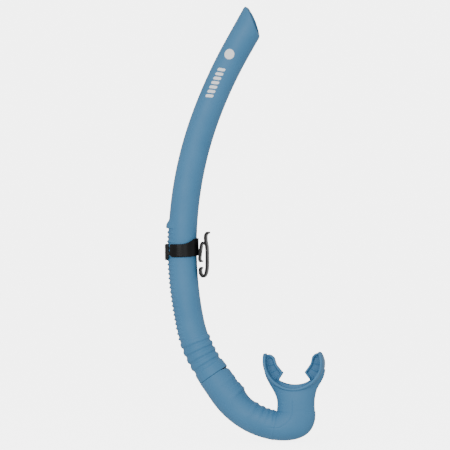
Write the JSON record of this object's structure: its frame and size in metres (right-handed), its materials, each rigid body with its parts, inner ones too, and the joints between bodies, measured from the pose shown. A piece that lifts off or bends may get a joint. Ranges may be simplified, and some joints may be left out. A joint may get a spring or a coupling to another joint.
{
  "type": "snorkel tube",
  "caption": "One-pipe swimming snorkel: a soft curved tube with a slanted open top, a swivelling mouthpiece elbow with bite tabs, and a sliding keeper clip with a strap loop.",
  "frame": {"origin": "centre of the mouth port, on the mirror plane", "axes": "+Z out of the mouth port towards the teeth and up along the tube; +X across the bend, from the tube towards the mouthpiece; Y square to the mirror plane"},
  "size_m": [0.1614, 0.0326, 0.4315],
  "materials": {
    "tube_rubber": "matte",
    "black_insert": "satin",
    "elbow_silicone": "matte",
    "black_clip": "satin",
    "black_pad": "satin",
    "black_hook": "satin"
  },
  "bodies": {
    "mouthpiece": {"mouthpiece_elbow": "elbow_silicone"},
    "tube": {"barrel": "tube_rubber", "coupling_sleeve": "black_insert"},
    "keeper": {"keeper_collar": "black_clip"},
    "pad": {"release_pad": "black_pad"},
    "hook": {"strap_hook": "black_hook"}
  },
  "joints": [
    {"name": "tube_swivel", "type": "hinge", "parent": "mouthpiece", "child": "tube", "pos_m": [-0.0809, 0, 0.0111], "axis": [-0.5693, 0, 0.8221], "range_deg": [-45, 45]},
    {"name": "keeper_slide", "type": "hinge", "parent": "tube", "child": "keeper", "pos_m": [0.26043, 0, 0.13938], "axis": [0, 1, 0], "range_deg": [-8.5, 2]},
    {"name": "pad_release", "type": "hinge", "parent": "keeper", "child": "pad", "pos_m": [-0.12577, 0, 0.13236], "axis": [0, -1, 0], "range_deg": [0, 8], "stiffness_Nm_per_rad": 0.15, "springref_deg": -5.73},
    {"name": "hook_swivel", "type": "hinge", "parent": "keeper", "child": "hook", "pos_m": [-0.09407, 0, 0.13249], "axis": [0.9999, 0, 0.0105], "range_deg": [-90, 90]}
  ]
}
